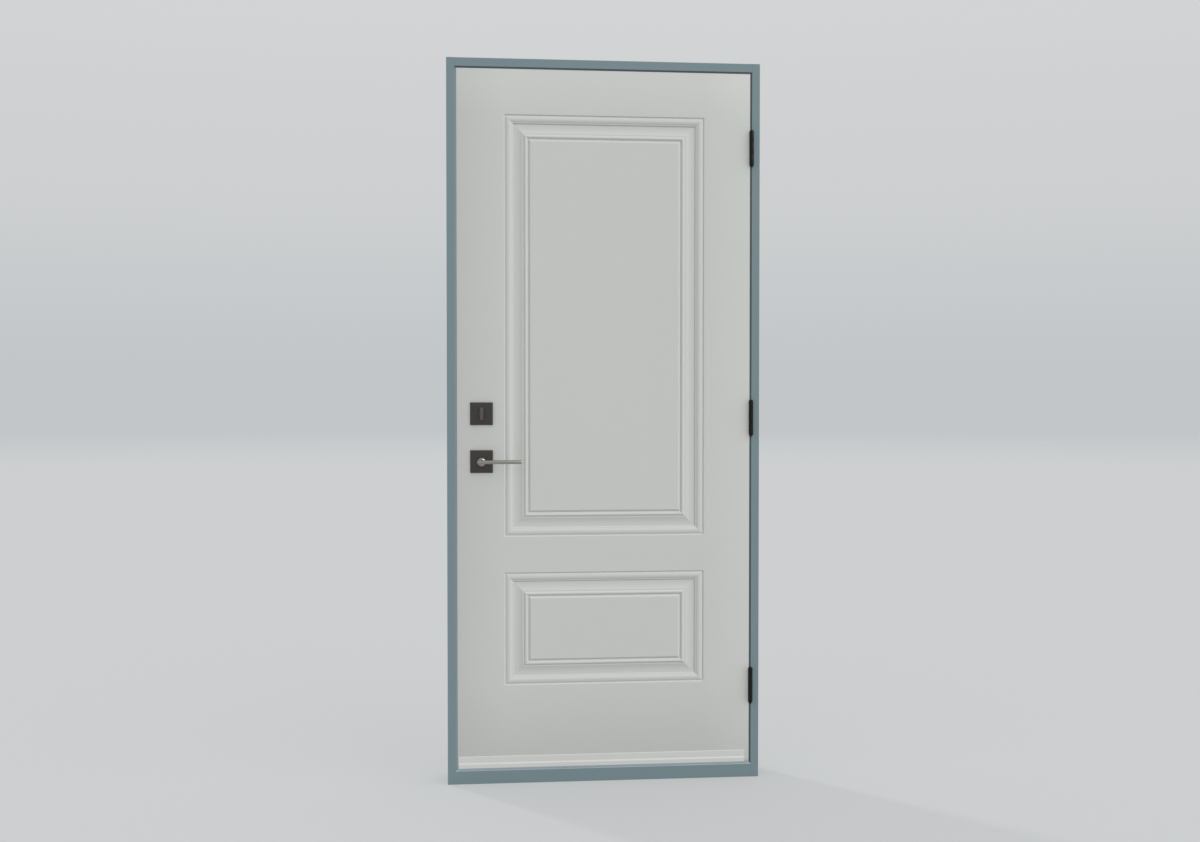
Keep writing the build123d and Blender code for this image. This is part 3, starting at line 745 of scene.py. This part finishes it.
# Finishes
def shader_group(name, inputs, outputs):
    """An empty node group with named number sockets and a vector input."""
    group = bpy.data.node_groups.new(name, "ShaderNodeTree")
    group.interface.new_socket("Vector", in_out="INPUT", socket_type="NodeSocketVector")
    for socket in inputs:
        group.interface.new_socket(socket, in_out="INPUT", socket_type="NodeSocketFloat")
    for socket in outputs:
        group.interface.new_socket(socket, in_out="OUTPUT", socket_type="NodeSocketFloat")
    return group, group.nodes.new("NodeGroupInput"), group.nodes.new("NodeGroupOutput")


def mottle_group(fine_detail=2.0, broad_detail=4.0):
    """Two noises at different sizes: a fine one for texture and a broad one for drifting tone."""
    group, given, result = shader_group("Mottle", ("Fine Scale", "Broad Scale"), ("Fine", "Broad"))
    for output, scale, detail in (
        ("Fine", "Fine Scale", fine_detail),
        ("Broad", "Broad Scale", broad_detail),
    ):
        noise = group.nodes.new("ShaderNodeTexNoise")
        noise.inputs["Detail"].default_value = detail
        group.links.new(given.outputs["Vector"], noise.inputs["Vector"])
        group.links.new(given.outputs[scale], noise.inputs["Scale"])
        group.links.new(noise.outputs["Fac"], result.inputs[output])
    return group


def brushed_group(along=0.02, detail=3.0):
    """Fine lines along X: a noise that is read at a small share of the distance along X."""
    group, given, result = shader_group("Brushed lines", ("Scale",), ("Lines",))
    squeeze = group.nodes.new("ShaderNodeVectorMath")
    squeeze.operation = "MULTIPLY"
    squeeze.inputs[1].default_value = (along, 1, 1)
    noise = group.nodes.new("ShaderNodeTexNoise")
    noise.inputs["Detail"].default_value = detail
    group.links.new(given.outputs["Vector"], squeeze.inputs[0])
    group.links.new(squeeze.outputs["Vector"], noise.inputs["Vector"])
    group.links.new(given.outputs["Scale"], noise.inputs["Scale"])
    group.links.new(noise.outputs["Fac"], result.inputs["Lines"])
    return group


class Finish:
    """A material being built: its Principled shader, its coordinates and short ways to add to it."""

    def __init__(self, name, metallic=0.0, specular=0.5):
        self.material = bpy.data.materials.new(f"{name}_finish")
        self.material.use_nodes = True
        self.tree = self.material.node_tree
        self.shader = self.tree.nodes["Principled BSDF"]
        self.shader.inputs["Metallic"].default_value = metallic
        self.shader.inputs["Specular IOR Level"].default_value = specular
        self.place = self.tree.nodes.new("ShaderNodeTexCoord").outputs["Object"]

    def effect(self, group, **values):
        """Place a shared effect, with its own values."""
        node = self.tree.nodes.new("ShaderNodeGroup")
        node.node_tree = group
        self.tree.links.new(self.place, node.inputs["Vector"])
        for socket, value in values.items():
            node.inputs[socket.replace("_", " ")].default_value = value
        return node

    def tone(self, mask, base, spread):
        """Base colour that drifts by a share either way as the mask changes."""
        mix = self.tree.nodes.new("ShaderNodeMix")
        mix.data_type = "RGBA"
        mix.inputs[MIX_A].default_value = (*(np.array(base) * (1 - spread)), 1)
        mix.inputs[MIX_B].default_value = (*(np.array(base) * (1 + spread)), 1)
        self.tree.links.new(mask, mix.inputs[MIX_FACTOR])
        self.tree.links.new(mix.outputs[MIX_RESULT], self.shader.inputs["Base Color"])

    def gloss(self, mask, low, high):
        """Roughness between two values as the mask changes."""
        span = self.tree.nodes.new("ShaderNodeMapRange")
        span.inputs["From Min"].default_value, span.inputs["From Max"].default_value = NOISE_SPAN
        span.inputs["To Min"].default_value = low
        span.inputs["To Max"].default_value = high
        self.tree.links.new(mask, span.inputs["Value"])
        self.tree.links.new(span.outputs["Result"], self.shader.inputs["Roughness"])

    def relief(self, height, strength, distance):
        """Fine bumps from a height."""
        bump = self.tree.nodes.new("ShaderNodeBump")
        bump.inputs["Strength"].default_value = strength
        bump.inputs["Distance"].default_value = distance
        self.tree.links.new(height, bump.inputs["Height"])
        self.tree.links.new(bump.outputs["Normal"], self.shader.inputs["Normal"])


def mottled_finish(name, base, mottle, spread, rough, relief, scales, metallic=0.0, specular=0.5):
    """A finish with drifting tone and gloss and a fine even texture.

    Spread is the tone's drift either way, rough the lowest and highest roughness, relief the bumps'
    strength and height in metres, and scales those of the fine and the broad noise.
    """
    finish = Finish(name, metallic, specular)
    effect = finish.effect(mottle, Fine_Scale=scales[0], Broad_Scale=scales[1])
    finish.tone(effect.outputs["Broad"], base, spread)
    finish.gloss(effect.outputs["Broad"], *rough)
    finish.relief(effect.outputs["Fine"], *relief)


def brushed_finish(name, base, brushed, spread, rough, relief, scale, metallic):
    """A metal with fine lines along X in its tone, gloss and surface, by the same values."""
    finish = Finish(name, metallic)
    lines = finish.effect(brushed, Scale=scale).outputs["Lines"]
    finish.tone(lines, base, spread)
    finish.gloss(lines, *rough)
    finish.relief(lines, *relief)


class DOOR_OT_finishes(bpy.types.Operator):
    """Make the finishes and put them on the solids that stay in view"""

    bl_idname = "door.finishes"
    bl_label = "Finishes"

    def execute(self, context):
        colours = context.scene.door_colours
        mottle = mottle_group()
        brushed = brushed_group()
        satin_paint = {"spread": 0.012, "rough": (0.42, 0.5), "relief": (0.08, 0.0002)}
        for name, broad in (("leaf_paint", 3), ("leaf_edge", 5)):
            mottled_finish(name, colours.leaf, mottle, scales=(900, broad), specular=0.2, **satin_paint)
        mottled_finish("frame_paint", colours.frame, mottle, scales=(700, 4), **satin_paint)
        vinyl = {"spread": 0.015, "rough": (0.45, 0.55), "relief": (0.06, 0.0002), "scales": (1500, 8)}
        mottled_finish("sweep_vinyl", colours.vinyl, mottle, **vinyl)
        rubber = {"spread": 0.05, "rough": (0.65, 0.75), "relief": (0.15, 0.0002), "scales": (1800, 30)}
        mottled_finish("seal_rubber", colours.rubber, mottle, **rubber)
        # lit and shaded copies of one lip rubber: darker by the hinges and under the head for painted shade,
        # lighter by the lock for painted light
        mottled_finish("lip_rubber", colours.lip, mottle, **rubber)
        mottled_finish("strike_lip", colours.strike_lip, mottle, **rubber)
        mottled_finish("fin_rubber", colours.fin, mottle, **rubber)
        metal = {"spread": 0.06, "relief": (0.06, 0.0001), "scales": (2500, 40)}
        mottled_finish("hinge_metal", colours.hinge, mottle, rough=(0.3, 0.36), specular=0.25, **metal)
        mottled_finish("dark_metal", colours.dark_metal, mottle, rough=(0.38, 0.5), metallic=0.3, **metal)
        # a lighter copy of the dark metal above, painted light for the thumb turn's blade
        mottled_finish("lit_turn_metal", colours.turn, mottle, rough=(0.34, 0.42), metallic=0.3, **metal)
        lines = {"brushed": brushed, "relief": (0.05, 0.0001)}
        # the cap's colour is raised as painted light for its strip in the shade under the sweep
        brushed_finish(
            "sill_cap", colours.cap, spread=0.03, rough=(0.4, 0.55), scale=900, metallic=0.2, **lines
        )
        brushed_finish(
            "lever_metal", colours.lever, spread=0.05, rough=(0.3, 0.36), scale=2500, metallic=1.0, **lines
        )
        for row in frame["record"]["subparts"]:
            materials = frame["nodes"][row["node"]].data.materials
            materials.clear()
            materials.append(finish_named(row["material_slot"]))
        return {"FINISHED"}


# Stage
def light_path_mix(tree, lit, seen):
    """A shader that lights the object as one and is seen, and mirrored, as another."""
    path = tree.nodes.new("ShaderNodeLightPath")
    share = path.outputs["Is Camera Ray"]
    for ray in ("Is Glossy Ray", "Is Transmission Ray"):
        either = tree.nodes.new("ShaderNodeMath")
        either.operation = "MAXIMUM"
        tree.links.new(share, either.inputs[0])
        tree.links.new(path.outputs[ray], either.inputs[1])
        share = either.outputs["Value"]
    mix = tree.nodes.new("ShaderNodeMixShader")
    tree.links.new(share, mix.inputs["Fac"])
    tree.links.new(lit, mix.inputs[1])
    tree.links.new(seen, mix.inputs[2])
    return mix.outputs["Shader"]


def studio_world(scene, stage):
    """Even light from all round, seen as a backdrop that grows paler above the horizon."""
    world = bpy.data.worlds.new("Studio")
    world.use_nodes = True
    tree = world.node_tree
    lit = tree.nodes["Background"]
    lit.inputs["Color"].default_value = (1, 1, 1, 1)
    lit.inputs["Strength"].default_value = stage.ambient
    seen = tree.nodes.new("ShaderNodeBackground")
    direction = tree.nodes.new("ShaderNodeTexCoord")
    parts = tree.nodes.new("ShaderNodeSeparateXYZ")
    ramp = tree.nodes.new("ShaderNodeValToRGB")
    ramp.color_ramp.interpolation = "EASE"
    ramp.color_ramp.elements.new(stage.middle_at)
    positions = (0, stage.middle_at, stage.high_at)
    shades = (stage.backdrop_low, stage.backdrop_middle, stage.backdrop_high)
    for element, position, shade in zip(ramp.color_ramp.elements, positions, shades):
        element.position, element.color = position, (*shade, 1)
    tree.links.new(direction.outputs["Generated"], parts.inputs["Vector"])
    tree.links.new(parts.outputs["Z"], ramp.inputs["Fac"])
    tree.links.new(ramp.outputs["Color"], seen.inputs["Color"])
    mixed = light_path_mix(tree, lit.outputs["Background"], seen.outputs["Background"])
    tree.links.new(mixed, tree.nodes["World Output"].inputs["Surface"])
    scene.world = world


def floor_finish(stage):
    """A pale floor that keeps shadows and fades into the backdrop far away."""
    material = bpy.data.materials.new("studio_floor")
    material.use_nodes = True
    tree = material.node_tree
    tree.nodes.remove(tree.nodes["Principled BSDF"])
    bounce = tree.nodes.new("ShaderNodeBsdfDiffuse")
    bounce.inputs["Color"].default_value = (*(np.array(stage.floor) * stage.floor_bounce), 1)
    matt = tree.nodes.new("ShaderNodeBsdfDiffuse")
    matt.inputs["Color"].default_value = (*(np.array(stage.floor) / stage.floor_light), 1)
    glow = tree.nodes.new("ShaderNodeEmission")
    glow.inputs["Color"].default_value = (*stage.floor, 1)
    seen = tree.nodes.new("ShaderNodeMixShader")
    seen.inputs["Fac"].default_value = stage.floor_glow
    tree.links.new(matt.outputs["BSDF"], seen.inputs[1])
    tree.links.new(glow.outputs["Emission"], seen.inputs[2])
    shown = light_path_mix(tree, bounce.outputs["BSDF"], seen.outputs["Shader"])
    place = tree.nodes.new("ShaderNodeTexCoord")
    distance = tree.nodes.new("ShaderNodeVectorMath")
    distance.operation = "LENGTH"
    fade = tree.nodes.new("ShaderNodeMapRange")
    fade.interpolation_type = "SMOOTHSTEP"
    fade.inputs["From Min"].default_value = stage.floor_clear
    fade.inputs["From Max"].default_value = stage.floor_gone
    clear = tree.nodes.new("ShaderNodeBsdfTransparent")
    mix = tree.nodes.new("ShaderNodeMixShader")
    tree.links.new(place.outputs["Object"], distance.inputs[0])
    tree.links.new(distance.outputs["Value"], fade.inputs["Value"])
    tree.links.new(fade.outputs["Result"], mix.inputs["Fac"])
    tree.links.new(shown, mix.inputs[1])
    tree.links.new(clear.outputs["BSDF"], mix.inputs[2])
    tree.links.new(mix.outputs["Shader"], tree.nodes["Material Output"].inputs["Surface"])
    return material


def add_lamp(scene, name, strength, spread, azimuth, elevation, shadow):
    """A sun lamp that shines from an azimuth, to the viewer's right of the front, and an elevation."""
    lamp = bpy.data.objects.new(name, bpy.data.lights.new(name, "SUN"))
    lamp.data.energy = strength
    lamp.data.angle = spread
    lamp.data.use_shadow = shadow
    lamp.rotation_euler = (math.pi / 2 - elevation, 0, azimuth)
    scene.collection.objects.link(lamp)


class DOOR_OT_stage(bpy.types.Operator):
    """Make the floor, the backdrop, the lamps and the camera"""

    bl_idname = "door.stage"
    bl_label = "Stage"

    def execute(self, context):
        scene = context.scene
        stage = scene.door_stage
        scene.view_settings.view_transform = "Standard"
        studio_world(scene, stage)
        reach = 2 * stage.floor_gone
        corners = np.array([(-reach, -reach, 0), (reach, -reach, 0), (reach, reach, 0), (-reach, reach, 0)])
        mesh = bpy.data.meshes.new("floor")
        mesh.from_pydata(corners.tolist(), [], [(0, 1, 2, 3)])
        mesh.materials.append(floor_finish(stage))
        floor = bpy.data.objects.new("floor", mesh)
        scene.collection.objects.link(floor)
        add_lamp(
            scene, "key", stage.key, stage.key_spread, stage.key_azimuth, stage.key_elevation, shadow=False
        )
        add_lamp(
            scene, "rim", stage.rim, stage.rim_spread, stage.rim_azimuth, stage.rim_elevation, shadow=True
        )
        camera = bpy.data.objects.new("camera", bpy.data.cameras.new("camera"))
        camera.data.sensor_width = stage.camera_sensor
        camera.data.lens = stage.camera_lens
        camera.location = stage.camera_place
        camera.rotation_euler = (math.pi / 2 + stage.camera_pitch, 0, -stage.camera_yaw)
        scene.collection.objects.link(camera)
        scene.camera = camera
        return {"FINISHED"}


class VIEW3D_PT_door(bpy.types.Panel):
    """The steps that dress the door, in order"""

    bl_label = "Panel door"
    bl_space_type = "VIEW_3D"
    bl_region_type = "UI"
    bl_category = "Door"

    def draw(self, context):
        """List the steps."""
        for step in STEPS:
            self.layout.operator(step.bl_idname)


SETTINGS = {
    "door_leaf": LeafSizes,
    "door_hardware": HardwareSizes,
    "door_colours": FinishColours,
    "door_stage": StageSettings,
}
STEPS = (
    DOOR_OT_finishes,
    DOOR_OT_leaf_faces,
    DOOR_OT_roses,
    DOOR_OT_levers,
    DOOR_OT_thumb_turn,
    DOOR_OT_hinges,
    DOOR_OT_screws,
    DOOR_OT_seals,
    DOOR_OT_sweep_fin,
    DOOR_OT_stage,
)


def register():
    """Make the settings, the steps and the panel known to Blender."""
    for name, group in SETTINGS.items():
        bpy.utils.register_class(group)
        setattr(bpy.types.Scene, name, PointerProperty(type=group))
    for step in (*STEPS, VIEW3D_PT_door):
        bpy.utils.register_class(step)


def unregister():
    """Take them out again."""
    for step in (VIEW3D_PT_door, *reversed(STEPS)):
        bpy.utils.unregister_class(step)
    for name, group in SETTINGS.items():
        delattr(bpy.types.Scene, name)
        bpy.utils.unregister_class(group)


def main():
    """Run the steps in order."""
    register()
    bpy.ops.door.finishes()
    bpy.ops.door.leaf_faces()
    bpy.ops.door.roses()
    bpy.ops.door.levers()
    bpy.ops.door.thumb_turn()
    bpy.ops.door.hinges()
    bpy.ops.door.screws()
    bpy.ops.door.seals()
    bpy.ops.door.sweep_fin()
    bpy.ops.door.stage()


if __name__ == "__main__":
    main()
